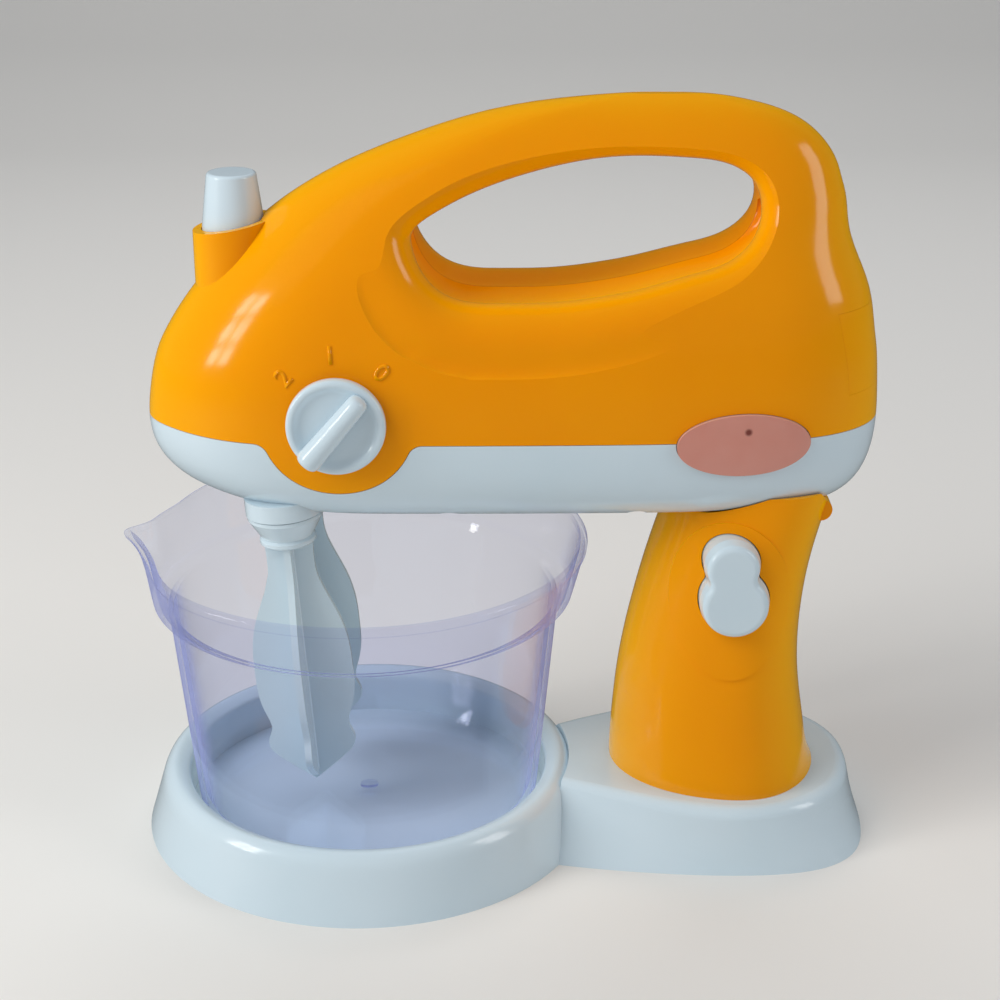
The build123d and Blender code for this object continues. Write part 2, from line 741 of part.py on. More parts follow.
def bowl_solid(grow, floor_z, rise):
    """The bowl's form, drawn in by -grow. Its rim is thicker and stands rise above the bowl's top."""
    foot = floor_z
    low = [(0, foot), (bowl_foot_r + grow - 2.5, foot), (bowl_foot_r + grow, foot + 1.0),
           (bowl_low_r + grow, foot + 5.0), (bowl_mid_r + grow, bowl_shelf_z - 3.0),
           (bowl_mid_r + grow + 1.0, bowl_shelf_z - 1.2), (bowl_shelf_r + grow - 0.1, bowl_shelf_z), (0, bowl_shelf_z)]
    lower = revolve(Plane.XZ * make_face(Polyline(*low, close=True)), Axis.Z)
    neck_z = bowl_rim_z - bowl_bead
    upper = loft_faces([rim_outline(bowl_shelf_z, bowl_shelf_r, 0, grow),
                        rim_outline(bowl_shelf_z + 4.5, bowl_shelf_r + 1.2, 0.22, grow),
                        rim_outline(bowl_shelf_z + 9, bowl_shelf_r + 2.4, 0.55, grow),
                        rim_outline(neck_z, bowl_rim_r - bowl_neck, 0.85, grow)])
    if grow < 0:
        rim = loft_faces([rim_outline(neck_z, bowl_rim_r - bowl_neck, 0.85, grow),
                          rim_outline(bowl_rim_z + rise, bowl_rim_r - bowl_neck + 0.3, 1, grow)])
    else:
        rim = loft_faces([rim_outline(neck_z, bowl_rim_r - 0.3, 0.88, 0), rim_outline(bowl_rim_z, bowl_rim_r, 1, 0)])
        rim = fillet(rim.edges().group_by(Axis.Z)[-1], 0.9)
    return lower + upper + rim


def bowl():
    foot = base_plate_t + 0.2 + floor_t + seat_gap
    outer = bowl_solid(0, foot, 0)
    inner = bowl_solid(-bowl_wall, foot + bowl_floor_t, 1)
    return keep_largest(outer - inner)


# Base

# The lobe's outline at the foot and at the top: distance before its rear end, share of lobe_half_w
lobe_foot = [(109.5, 0.65), (94.5, 0.80), (79.5, 0.892), (64.5, 0.954), (49.5, 0.992), (35.5, 1.0), (22.5, 0.968),
             (12.0, 0.870), (4.9, 0.692), (1.1, 0.405), (0.0, 0.0)]
lobe_top = [(109.5, 0.19), (94.5, 0.34), (79.5, 0.522), (65.5, 0.703), (52.5, 0.838), (39.5, 0.903), (28.0, 0.862),
            (18.0, 0.735), (10.5, 0.535), (6.1, 0.297), (4.7, 0.0)]


def lobe_outline(inset, z):
    """Closed outline of the lobe at height z, drawn in by inset."""
    near = []
    for (back0, share0), (back1, share1) in zip(lobe_foot, lobe_top):
        x = lobe_rear - back0 - (back1 - back0) * z / lobe_h
        near.append((x, -lobe_half_w * (share0 + (share1 - share0) * z / lobe_h)))
    ring = near + [(x, -y) for x, y in reversed(near[:-1])]
    count = len(ring)
    points = []
    for i in range(count):
        x0, y0 = ring[i - 1]
        x1, y1 = ring[(i + 1) % count]
        size = hypot(x1 - x0, y1 - y0)
        points.append((ring[i][0] - inset * (y1 - y0) / size, ring[i][1] + inset * (x1 - x0) / size, z))
    return points


def lobe(inset, z0, z1, edge_r):
    """Column's lobe: its walls lean in with height, and most where it leaves the ring."""
    solid = loft_faces([lobe_outline(inset, z0), lobe_outline(inset, z1)])
    if edge_r > 0:
        solid = fillet(solid.edges().group_by(Axis.Z)[-1], edge_r)
    return solid


def ring_solid():
    """Round seat: sloping wall and a broad rounded crest."""
    wall = Line((ring_r, 0), (ring_r - 3.9, ring_h - 5.2))
    crown = Spline((ring_r - 3.9, ring_h - 5.2), (ring_r - 5.4, ring_h - 1.7), (ring_crest_r, ring_h),
                   (seat_r + 1.2, ring_h - 1.0), (seat_r, ring_h - 3.4),
                   tangents=[(-3.9, ring_h - 5.2), (0, -1)])
    rest = Polyline((seat_r, ring_h - 3.4), (0, ring_h - 3.4), (0, 0), (ring_r, 0))
    return revolve(Plane.XZ * make_face(wall + crown + rest), Axis.Z)


def base_bosses():
    spots = []
    for a in (90, 180, 270):
        spots.append((base_boss_ring * cos(radians(a)), base_boss_ring * sin(radians(a))))
    spots.append((lobe_boss_x, lobe_boss_y))
    spots.append((lobe_boss_x, -lobe_boss_y))
    return spots


def base_cover_outline(inset):
    """Space of the flat cover, which sits flush in the base's underside."""
    round_part = bar(0, 0, 0, base_plate_t, ring_r - base_wall - 0.6 - inset)
    return round_part + lobe(base_wall + 0.6 + inset, 0, base_plate_t, 0) & block(-200, 200, -100, 100, 0, base_plate_t)


def base_shell():
    body = ring_solid() + (lobe(0, 0, lobe_h, lobe_edge_r) - bar(0, 0, -1, 60, lobe_groove_r))
    floor_z = base_plate_t + 0.2 + floor_t
    body = body - bar(0, 0, floor_z, 60, seat_r)
    channel = Polyline((seat_r + base_wall, base_plate_t), (ring_r - base_wall - 2.2, base_plate_t),
                       (ring_r - base_wall - 5.6, ring_h - 5.0), (seat_r + base_wall, ring_h - 5.0), close=True)
    hollow = revolve(Plane.XZ * make_face(channel), Axis.Z)
    under_lobe = lobe(base_wall + 1.6, base_plate_t, lobe_h - base_wall, 0)
    under_lobe = under_lobe - bar(0, 0, -1, 60, ring_r - base_wall - 6)
    hollow = hollow + under_lobe
    for x, y in base_bosses():
        hollow = hollow - bar(x, y, 0, 40, base_boss_r)
    body = body - hollow
    body = body - bar(0, 0, -1, base_plate_t + 0.2, seat_r + base_wall)
    body = body - base_cover_outline(0)
    for x, y in base_bosses():
        body = body - bar(x, y, 0, base_screw_len - 0.5, base_screw_r + slip)
    for side in (-1, 1):
        for x, y in foot_screws_at:
            body = body - bar(x, side * y, 5, 40, column_screw_r + 0.2)
    return keep_largest(body)


def base_plate():
    plate = base_cover_outline(seam)
    for x, y in base_bosses():
        plate = plate - bar(x, y, -1, 10, base_screw_r + 0.2)
        plate = plate - bar(x, y, -1, 1.7, 2.1 * base_screw_r)
    return keep_largest(plate)


def base_screws():
    return [screw_z(x, y, 1.7, base_screw_len - 2.5, base_screw_r, True) for x, y in base_bosses()]


# Column

# Height, then how far the front, the rear and the half width are from those at the foot
column_levels = [(19.5, 0.0, 0.0, 0.0), (28.0, 0.2, -2.5, -0.4), (38.0, 0.9, -4.2, -1.2),
                 (51.0, 2.4, -5.8, -2.4), (66.0, 5.3, -5.7, -3.8), (80.0, 8.8, -4.0, -5.0),
                 (91.0, 12.1, -1.5, -5.8), (97.2, 14.2, 0.2, -6.2), (103.0, 16.4, 2.2, -6.5)]


def column_solid(inset, z_cut):
    outlines = []
    for z, front, rear, half in column_levels:
        x0 = column_foot_front + front + inset
        x1 = column_foot_rear + rear - inset
        b = column_foot_half_w + half - inset
        xm = x0 + 0.61 * (x1 - x0)
        level = lobe_h + (z - 19.5) * (column_top_z - lobe_h) / (97.2 - 19.5)
        outline = []
        for i in range(24):
            a = 2 * pi * i / 24
            reach = (x1 - xm) if cos(a) > 0 else (xm - x0)
            outline.append((xm + reach * cos(a), b * sin(a), level))
        outlines.append(outline)
    solid = loft_faces(outlines)
    if z_cut:
        solid = solid & block(0, 300, -100, 100, lobe_h + column_floor_t, column_top_z - column_ceiling_t)
    return solid


def release_area(grow):
    """Peanut outline of the release button: two lobes joined by a hollow on both sides."""
    low = Vector(release_x, release_z)
    high = Vector(release_x - 1.0, release_z + release_rise)
    low_r = release_r + grow
    high_r = release_top_r + grow
    reach_low = release_r + release_waist_r
    reach_high = release_top_r + release_waist_r
    length = (high - low).length
    along = (high - low) * (1 / length)
    across = Vector(-along.Y, along.X)
    a = (reach_low ** 2 - reach_high ** 2 + length ** 2) / (2 * length)
    h = (reach_low ** 2 - a ** 2) ** 0.5
    left = low + along * a + across * h
    right = low + along * a - across * h
    low_left = low + (left - low) * (low_r / reach_low)
    low_right = low + (right - low) * (low_r / reach_low)
    high_left = high + (left - high) * (high_r / reach_high)
    high_right = high + (right - high) * (high_r / reach_high)
    waist = release_waist_r - grow
    outline = [ThreePointArc(low_right, low - along * low_r, low_left),
               ThreePointArc(low_left, left - across * waist, high_left),
               ThreePointArc(high_left, high + along * high_r, high_right),
               ThreePointArc(high_right, right + across * waist, low_right)]
    return make_face(outline)


def hinge_knuckles():
    knuckles = Part()
    for side in (-1, 1):
        knuckles = knuckles + bar_y(hinge_x, hinge_z, side * (hinge_mid_half + 0.3), side * hinge_half_len,
                                    hinge_barrel_r)
    return knuckles


def column_whole():
    """Column with its raised oval. Its top follows the head's underside through the whole swing."""
    oval = extrude(Plane.XZ * Pos(release_x - 0.8, release_z - 0.7) * Ellipse(release_pad_w, release_pad_h), 80)
    whole = column_solid(0, False) + (column_solid(-release_pad_t, False) & oval)
    underside = head_solid(-seat_gap) & block(60, 160, -60, 60, 80, 112)
    hinge = Pos(hinge_x, 0, hinge_z)
    for step in range(6):
        whole = whole - hinge * Rot(0, head_swing * step / 5, 0) * Pos(-hinge_x, 0, -hinge_z) * underside
    return whole + hinge_knuckles()


def column_half(side, whole):
    room = column_solid(column_wall, True)
    keep_out = []
    for x, z in column_screws_at:
        keep_out.append(bar_y(x, z, 0, side * 40, housing_boss_r))
    for x, y in foot_screws_at:
        keep_out.append(bar(x, side * y, lobe_h, lobe_h + 13, housing_boss_r))
    keep_out.append(bar_y(hinge_x, hinge_z, hinge_mid_half * side, side * 40, hinge_barrel_r + 1.5))
    if side > 0:
        keep_out.append(bar_y(release_x, release_z - 1.5, release_post_y, 40, release_spring_r + 1.4))
    room = room - keep_out
    body = whole - room
    body = split(body, Plane.XZ, keep=Keep.TOP if side < 0 else Keep.BOTTOM)
    if side > 0:
        body = body + (bar_y(release_x, release_z - 1.5, release_post_y, 2, release_spring_r + 1.4))
    # Room for the head's knuckle and neck over the whole swing
    body = body - bar_y(hinge_x, hinge_z, -hinge_mid_half - 0.3, hinge_mid_half + 0.3, hinge_barrel_r + hinge_play)
    body = body - block(hinge_x - 1, hinge_x + 20, -hinge_mid_half - 0.3, hinge_mid_half + 0.3, hinge_z - 0.5, 120)
    body = body - bar_y(hinge_x, hinge_z, -hinge_half_len + 1.5, hinge_half_len + 1, hinge_pin_r + slip)
    # Slot in the top for the catch
    body = body - block(catch_x - 5.5, catch_x + 3.5, -catch_half - 1, catch_half + 1, column_top_z - column_ceiling_t - 1, column_top_z + 1)
    if side < 0:
        body = body - extrude(Plane.XZ * release_area(release_draft + 0.25), 80)
        for x, z in column_screws_at:
            body = body - bar_y(x, z, -column_screw_len + 4, 1, column_screw_r + slip)
    else:
        for x, z in column_screws_at:
            body = body - bar_y(x, z, -1, 60, column_screw_r + 0.2)
            body = body - bar_y(x, z, 4.0, 60, housing_boss_r - 0.6)
    for x, y in foot_screws_at:
        body = body - bar(x, side * y, lobe_h - 1, lobe_h + foot_screw_len, column_screw_r + slip)
    return keep_largest(body)


def column_screws():
    return [screw_y(x, z, 4.0, column_screw_len - 0.5, column_screw_r) for x, z in column_screws_at]


def column_foot_screws():
    screws = []
    for side in (-1, 1):
        for x, y in foot_screws_at:
            screws.append(screw_z(x, side * y, lobe_h - base_wall, foot_screw_len + 1.5, column_screw_r, True))
    return screws


def hinge_pin():
    return bar_y(hinge_x, hinge_z, -hinge_half_len + 2.0, hinge_half_len + 0.4, hinge_pin_r)


def release_button():
    """Peanut key with a curved flange behind the wall and a finger that reaches to the catch."""
    inner = extrude(Plane.XZ * release_area(release_draft), release_back_y - release_bend_y)
    wide = Pos(0, release_bend_y, 0) * (Plane.XZ * release_area(release_draft))
    front = Pos(0, release_face_y, 0) * (Plane.XZ * release_area(0))
    outer = loft([wide.face(), front.face()])
    outer = fillet(outer.edges().group_by(Axis.Y)[0], 1.8)
    body = Pos(0, release_back_y, 0) * inner + outer
    behind = column_solid(column_wall + seat_gap, False) - column_solid(column_wall + seat_gap + 1.2, False)
    behind = behind & block(0, 200, -60, 0, lobe_h, column_top_z - column_ceiling_t - seat_gap)
    flange = behind & Pos(0, release_back_y, 0) * extrude(Plane.XZ * release_area(release_draft + 1.4), 20)
    low = release_z + release_rise - 1.5
    reach_y = -catch_half - release_travel - 0.6
    arm = block(release_x - 4, release_x + 1, release_back_y - 1, reach_y, low, low + 3)
    finger = block(catch_x - 1, release_x - 3, reach_y - 3, reach_y, low, low + 3)
    return body + flange + arm + finger


def release_spring():
    start = release_back_y + 0.1
    end = release_post_y - 0.1
    spring = coil(release_spring_r, release_wire_r, end - start, release_spring_turns)
    return Pos(release_x, end, release_z - 1.5) * Rot(90, 0, 0) * spring


# Battery compartment

def battery_box():
    x0 = cell_front_x - 2.0
    x1 = cell_front_x + cell_len + 0.5
    half = cell_y + cell_r + 0.3 + box_wall
    low = cell_z - cell_r - 0.3 - box_wall
    high = cell_z + cell_r + 0.3 + box_wall
    box = block(x0, x1, -half, half, low, high)
    for side in (-1, 1):
        box = box - bar_x(side * cell_y, cell_z, x0 + box_wall, x1 + 1, cell_r + 0.25)
    box = box - block(x0 + box_wall, x1 + 1, -cell_y, cell_y, cell_z - 3, cell_z + 3)
    # Feet stand on the lower housing
    for side in (-1, 1):
        for x in (cell_front_x + 8, light_board_x() + seat_gap + 1):
            box = box + block(x - 1, x + 1, side * foot_y - 1, side * foot_y + 1, head_bottom_z + shell_t + seat_gap, low)
    # Boss for the cover's screw, between the two springs
    boss = block(x1 - 2, hatch_seat_x() - 2.2, -3.1, 3.1, cell_z + 4.6, high)
    return box + boss - bar_x(0, hatch_screw_z(), x1 - 1, 200, housing_screw_r + slip)


def hatch_seat_x():
    """Where the head of the cover's screw sits."""
    return head_rear_x - hatch_seat_depth


def hatch_screw_z():
    return cell_z + cell_r - 0.4


def battery_cells():
    cells = []
    for side in (-1, 1):
        can = bar_x(side * cell_y, cell_z, cell_front_x, cell_front_x + cell_len - 1.5, cell_r)
        nub_at = cell_front_x + cell_len - 1.5
        cells.append(can + bar_x(side * cell_y, cell_z, nub_at, nub_at + 1.5, 2.6))
    return cells


def battery_front_contact():
    x1 = cell_front_x - 0.1
    return block(x1 - 0.5, x1, -cell_y - 2.8, cell_y + 2.8, cell_z - 2.8, cell_z + 2.8)


def rear_contact_x():
    return cell_front_x + cell_len + 10.0


def battery_springs():
    springs = []
    x0 = cell_front_x + cell_len + 0.1
    length = rear_contact_x() - 0.1 - x0
    for side in (-1, 1):
        spring = coil(battery_spring_r, battery_wire_r, length, 4)
        springs.append(Pos(x0, side * cell_y, cell_z) * Rot(0, 90, 0) * spring)
    return springs


def battery_rear_contact():
    x = rear_contact_x()
    return block(x, x + 0.6, -cell_y - 3.8, cell_y + 3.8, cell_z - 4, cell_z + 4)


def battery_cover(outer, inner):
    """Cover that follows the body, with a rib that presses the contact on the springs."""
    cap = keep_largest((outer - inner) & hatch_block(hatch_gap))
    x = rear_contact_x() + 0.6 + slip
    rib = block(x, head_rear_x, -1.2, 1.2, cell_z - 3.5, cell_z + 3.5) & outer
    lug = bar_x(0, hatch_screw_z(), hatch_seat_x() - 2.0, head_rear_x, 3.4) & outer & hatch_block(hatch_gap)
    body = cap + rib + lug
    body = body - bar_x(0, hatch_screw_z(), 100, 200, housing_screw_r + 0.2)
    body = body - bar_x(0, hatch_screw_z(), hatch_seat_x(), 200, 1.9 * housing_screw_r + 0.3)
    return keep_largest(body)


def battery_cover_screw():
    screw = screw_z(0, 0, 0, hatch_screw_len, housing_screw_r, False)
    return Pos(hatch_seat_x(), 0, hatch_screw_z()) * Rot(0, 90, 0) * screw


# Lamps

def light_board_x():
    """Rear face of the lamps' board."""
    return lens_x + light_board_t / 2 - 1.2


def light_board():
    """Board across the head. Its tongue stands on the lower housing, in front of the battery box's feet."""
    half = head_half_w - shell_t - 6
    x1 = light_board_x()
    board = block(x1 - light_board_t, x1, -half, half, light_z - light_board_h / 2, light_z + light_board_h / 2)
    foot = head_bottom_z + shell_t + seat_gap
    return board + block(x1 - light_board_t, x1, -foot_y - 2, foot_y + 2, foot, light_z)


def light(side):
    tip = head_half_w - lamp_setback
    x = light_board_x() + lamp_r
    body = bar_y(x, light_z, side * (tip - lamp_len), side * (tip - lamp_r), lamp_r)
    return body + Pos(x, side * (tip - lamp_r), light_z) * Sphere(lamp_r)


def build():
    outer = head_solid(0)
    inner = head_solid(shell_t)
    nodes = {}
    nodes["upper_housing_near"] = upper_housing(-1, outer, inner)
    nodes["upper_housing_far"] = upper_housing(1, outer, inner)
    nodes["lower_housing"] = lower_housing(outer, inner)
    proud = head_solid(-lens_proud)
    nodes["lens_near"] = lens(-1, proud)
    nodes["lens_far"] = lens(1, proud)
    nodes["mode_knob"] = mode_knob()
    nodes["mode_wiper"] = mode_wiper()
    nodes["mode_switch_board"] = mode_switch_board()
    nodes["mode_switch_screws"] = mode_switch_screws()
    nodes["start_button"] = start_button()
    nodes["start_spring"] = start_spring()
    nodes["start_switch"] = start_switch()
    nodes["spindle_gear_near"] = leaned(spindle_gear(-1))
    nodes["spindle_gear_far"] = leaned(spindle_gear(1))
    nodes["beater_near"] = leaned(beater(-1))
    nodes["beater_far"] = leaned(beater(1))
    nodes["motor_pinion"] = leaned(motor_pinion())
    nodes["motor_shaft"] = leaned(motor_shaft())
    nodes["motor_can"] = leaned(motor_can())
    nodes["motor_end_cap"] = leaned(motor_end_cap())
    nodes["gear_plate"] = leaned(gear_plate())
    nodes["gear_plate_screws"] = [leaned(screw_z(x, y, gear_plate_z + gear_plate_t, 7.0, 0.9, False))
                                  for x, y in plate_posts()]
    nodes["light_board"] = light_board()
    nodes["light_near"] = light(-1)
    nodes["light_far"] = light(1)
    nodes["battery_box"] = battery_box()
    nodes["battery_cells"] = battery_cells()
    nodes["battery_front_contact"] = battery_front_contact()
    nodes["battery_springs"] = battery_springs()
    nodes["battery_rear_contact"] = battery_rear_contact()
    nodes["battery_cover"] = battery_cover(outer, inner)
    nodes["battery_cover_screw"] = battery_cover_screw()
    nodes["housing_screws"] = [screw_y(x, z, 4.6, housing_screw_len, housing_screw_r) for x, z in housing_screws_at]
    nodes["lower_housing_screws"] = [screw_z(x, side * y, parting_z - 6, 12.0, housing_screw_r, True)
                                     for side in (-1, 1) for x, y in lower_screws_at]
    column = column_whole()
    nodes["column_near"] = column_half(-1, column)
    nodes["column_far"] = column_half(1, column)
    nodes["column_screws"] = column_screws()
    nodes["column_foot_screws"] = column_foot_screws()
    nodes["hinge_pin"] = hinge_pin()
    nodes["release_button"] = release_button()
    nodes["release_spring"] = release_spring()
    nodes["base_shell"] = base_shell()
    nodes["base_plate"] = base_plate()
    nodes["base_screws"] = base_screws()
    nodes["bowl"] = bowl()
    return nodes


def write(nodes):
    for name, shape in nodes.items():
        if isinstance(shape, list):
            shape = Compound(children=[s if isinstance(s, Solid) else s.solid() for s in shape])
        export_step(shape, "parts/" + name + ".step")
        print(name, round(shape.volume, 1))


write(build())
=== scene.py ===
import bpy
import bmesh
import json
from math import cos, pi, radians, sin
from mathutils import Matrix, Vector
from mathutils.bvhtree import BVHTree


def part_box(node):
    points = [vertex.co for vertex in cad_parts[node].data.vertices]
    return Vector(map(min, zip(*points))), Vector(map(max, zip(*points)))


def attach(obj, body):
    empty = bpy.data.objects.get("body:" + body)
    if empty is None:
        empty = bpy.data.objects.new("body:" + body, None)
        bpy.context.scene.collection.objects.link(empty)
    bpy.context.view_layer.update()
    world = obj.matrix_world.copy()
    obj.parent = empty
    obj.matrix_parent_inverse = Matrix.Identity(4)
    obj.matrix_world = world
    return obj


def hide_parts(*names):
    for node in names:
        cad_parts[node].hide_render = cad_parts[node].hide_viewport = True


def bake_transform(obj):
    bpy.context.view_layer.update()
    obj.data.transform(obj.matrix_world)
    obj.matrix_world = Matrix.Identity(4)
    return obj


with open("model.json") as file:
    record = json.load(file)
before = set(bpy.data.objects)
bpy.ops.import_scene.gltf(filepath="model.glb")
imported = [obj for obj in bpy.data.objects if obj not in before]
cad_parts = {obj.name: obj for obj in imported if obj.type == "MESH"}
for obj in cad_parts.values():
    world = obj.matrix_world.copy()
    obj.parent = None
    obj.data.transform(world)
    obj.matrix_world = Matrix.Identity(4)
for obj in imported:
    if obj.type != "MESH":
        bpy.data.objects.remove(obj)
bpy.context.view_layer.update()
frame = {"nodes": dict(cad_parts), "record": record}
nodes = frame["nodes"]
MM = 0.001


# Small helpers

def linear(hex_colour):
    """sRGB hex to the linear colour that a shader socket takes."""
    channels = [int(hex_colour[i:i + 2], 16) / 255 for i in (1, 3, 5)]
    return [c / 12.92 if c <= 0.04045 else ((c + 0.055) / 1.055) ** 2.4 for c in channels] + [1.0]


def add(tree, kind, settings=None, inputs=None):
    """One node with its settings. An input is a value, or an output socket to link from."""
    node = tree.nodes.new(kind)
    for name, value in (settings or {}).items():
        setattr(node, name, value)
    for name, value in (inputs or {}).items():
        if isinstance(value, bpy.types.NodeSocket):
            tree.links.new(value, node.inputs[name])
        else:
            node.inputs[name].default_value = value
    return node


def noise(tree, at, spacing_mm, detail=2.0, roughness=0.5):
    """Noise whose blobs lie about spacing_mm apart."""
    made = add(tree, "ShaderNodeTexNoise", {},
               {"Vector": at, "Scale": 1000 / spacing_mm, "Detail": detail, "Roughness": roughness})
    return made.outputs["Fac"]


def bump(tree, height, strength, depth_mm, under=None):
    """Relief of a height, on top of another relief if one is given."""
    inputs = {"Height": height, "Strength": strength, "Distance": depth_mm * MM}
    if under:
        inputs["Normal"] = under
    return add(tree, "ShaderNodeBump", {}, inputs).outputs["Normal"]


def mixed(tree, factor, first, second):
    """Mix of two colours, each an sRGB hex or an output socket."""
    first, second = [linear(c) if isinstance(c, str) else c for c in (first, second)]
    made = add(tree, "ShaderNodeMix", {"data_type": "RGBA"}, {"Factor": factor, "A": first, "B": second})
    return made.outputs["Result"]


def ranged(tree, value, to_min, to_max, from_min=0.0, from_max=1.0, smooth=False):
    """Value moved from one range into another, with soft ends if it is smooth."""
    settings = {"interpolation_type": "SMOOTHSTEP"} if smooth else {}
    made = add(tree, "ShaderNodeMapRange", settings,
               {"Value": value, "From Min": from_min, "From Max": from_max,
                "To Min": to_min, "To Max": to_max})
    return made.outputs["Result"]


def facing(tree, blend, normal=None):
    """0 where the surface faces the eye, 1 where it turns away."""
    inputs = {"Blend": blend}
    if normal:
        inputs["Normal"] = normal
    return add(tree, "ShaderNodeLayerWeight", {}, inputs).outputs["Facing"]


def new_material(name):
    """Empty material, with its node tree, its output and its place in Object coordinates."""
    material = bpy.data.materials.new(name)
    material.use_nodes = True
    tree = material.node_tree
    tree.nodes.clear()
    output = tree.nodes.new("ShaderNodeOutputMaterial")
    at = tree.nodes.new("ShaderNodeTexCoord").outputs["Object"]
    return material, tree, output, at


def principled(material, tree, output, inputs):
    """Material with one principled surface."""
    shader = add(tree, "ShaderNodeBsdfPrincipled", {}, inputs)
    tree.links.new(shader.outputs["BSDF"], output.inputs["Surface"])
    return material


def moulded(name, colour, light, roughness, grain_mm, wave_mm, depth_mm, extra, painted_edge_light=None, seam=None):
    """Injection-moulded plastic: a slightly uneven sheen, a faint sink of the surface, fine handling marks.
    Where the plastic turns away from the eye it takes a lighter colour: painted light, standing in for the
    light that a slightly translucent resin shows there.
    A seam is the narrow sunk line where two mirrored halves meet on the middle plane: its colour, which is
    painted shade darkening that line, and its half width in mm."""
    material, tree, output, at = new_material(name)
    cloud = noise(tree, at, wave_mm)
    fine = noise(tree, at, grain_mm, detail=5.0, roughness=0.6)
    rough = ranged(tree, fine, roughness * 0.8, roughness * 1.25, from_min=0.3, from_max=0.7)
    relief = bump(tree, fine, 0.10, 0.02, under=bump(tree, cloud, 0.25, depth_mm))
    paint = mixed(tree, cloud, colour, light)
    # Painted light: the surface takes a lighter colour where it turns away from the eye.
    if painted_edge_light:
        paint = mixed(tree, facing(tree, 0.5), paint, painted_edge_light)
    if seam:
        # The seam colour is painted shade: it darkens the plastic along the sunk seam, where shade would
        # fall.
        dark, half_mm = seam
        split = add(tree, "ShaderNodeSeparateXYZ", {}, {"Vector": at})
        off = add(tree, "ShaderNodeMath", {"operation": "ABSOLUTE"}, {0: split.outputs["Y"]})
        groove_depth_and_shade = ranged(tree, off.outputs["Value"], 0.0, 1.0,
                        from_min=0.3 * half_mm * MM, from_max=half_mm * MM, smooth=True)
        relief = bump(tree, groove_depth_and_shade, 0.6, half_mm, under=relief)
        paint = mixed(tree, groove_depth_and_shade, dark, paint)
    return principled(material, tree, output,
                      {"Base Color": paint, "Roughness": rough, "Normal": relief, **extra})


def metal(name, colour, dark, roughness, grain_mm, stretch):
    """Metal with a directional or even grain, whose spacing is grain_mm."""
    material, tree, output, at = new_material(name)
    turned_at = add(tree, "ShaderNodeMapping", {}, {"Vector": at, "Scale": stretch})
    grain = noise(tree, turned_at.outputs["Vector"], grain_mm, detail=3.0)
    return principled(material, tree, output,
                      {"Base Color": mixed(tree, grain, dark, colour), "Metallic": 1.0,
                       "Roughness": ranged(tree, grain, roughness * 0.7, roughness * 1.4),
                       "Normal": bump(tree, grain, 0.15, 0.02)})


# Materials

# Glossy amber ABS, polished tool: sharp highlights on an even, saturated colour
# Below, the lighter yellow for surfaces that turn away from the eye is painted light.
amber_abs = moulded("amber_abs_polished_mould", "#F49200", "#FA9C00",
                    roughness=0.12, grain_mm=1.2, wave_mm=30, depth_mm=0.25,
                    extra={"IOR": 1.53, "Specular IOR Level": 0.32, "Subsurface Weight": 0.08,
                           "Subsurface Radius": (0.005, 0.0015, 0.0003)},
                    # The seam colour here is painted shade, a darker amber along the sunk seam.
                    painted_edge_light="#FFBE08", seam=("#D97E00", 0.16))
# Glossy cool-white ABS: the same gloss, bluish in its shade
white_abs = moulded("white_abs_polished_mould", "#CDE0EA", "#D8E7F0",
                    roughness=0.18, grain_mm=1.2, wave_mm=30, depth_mm=0.20,
                    extra={"IOR": 1.53, "Coat Weight": 0.2, "Coat Roughness": 0.06,
                           "Subsurface Weight": 0.05, "Subsurface Radius": (0.003, 0.003, 0.003)})
# Plain plastics and metals of the inner parts
natural_nylon = moulded("natural_nylon_as_moulded", "#E3E0D2", "#EDEBDF",
                        roughness=0.45, grain_mm=0.8, wave_mm=12, depth_mm=0.1, extra={"IOR": 1.53})
black_abs = moulded("black_abs_as_moulded", "#17171A", "#202024",
                    roughness=0.42, grain_mm=0.6, wave_mm=12, depth_mm=0.1, extra={"IOR": 1.53})
phenolic = moulded("phenolic_board_pressed", "#8A5A2B", "#9A6836",
                   roughness=0.5, grain_mm=0.5, wave_mm=4, depth_mm=0.05, extra={"IOR": 1.6})
cell_film = moulded("cell_sleeve_shrink_film", "#1F2A3A", "#27344A",
                    roughness=0.3, grain_mm=0.8, wave_mm=10, depth_mm=0.05, extra={"IOR": 1.5})
zinc_steel = metal("zinc_plated_steel", "#C9CCD0", "#A9ADB2",
                   roughness=0.3, grain_mm=0.3, stretch=(1, 1, 1))
spring_wire = metal("drawn_spring_wire", "#B9BCC0", "#96999D",
                    roughness=0.28, grain_mm=0.15, stretch=(1, 1, 3))
turned_brass = metal("turned_brass", "#D9B25F", "#BE9848",
                     roughness=0.25, grain_mm=0.2, stretch=(1, 1, 6))


def middle(box):
    """Middle of a box, given as its low and high corner."""
    low, high = box
    return (low + high) / 2


